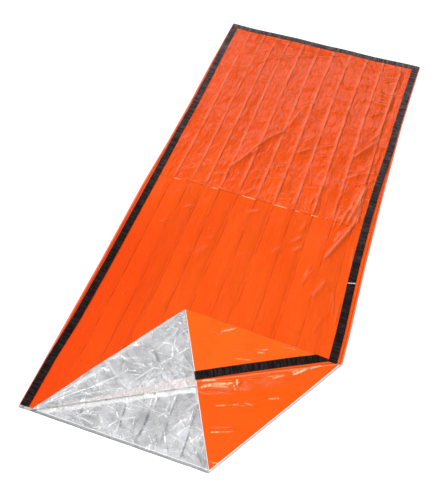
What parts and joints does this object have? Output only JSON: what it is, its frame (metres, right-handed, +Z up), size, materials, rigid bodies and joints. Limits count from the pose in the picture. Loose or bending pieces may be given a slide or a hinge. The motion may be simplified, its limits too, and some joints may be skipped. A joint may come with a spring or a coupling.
{
  "type": "emergency sleeping bag",
  "caption": "Flat orange film emergency sleeping bag, taped along its sides and foot, with one mouth corner opened and folded back to show its silver inside.",
  "frame": {"origin": "centre of the bag's bounding box at the height of the ground it lies on", "axes": "+X from the left edge to the right edge as seen from the mouth, +Y from the mouth to the foot, +Z up"},
  "size_m": [0.9178, 2.1388, 0.021],
  "materials": {
    "panel_film": "glossy orange film outside, aluminised silver inside",
    "edge_tape": "satin black woven tape"
  },
  "bodies": {
    "root": {"bottom_panel": "panel_film", "top_panel": "panel_film", "tape_left": "edge_tape", "tape_right": "edge_tape", "tape_foot": "edge_tape"}
  },
  "joints": []
}
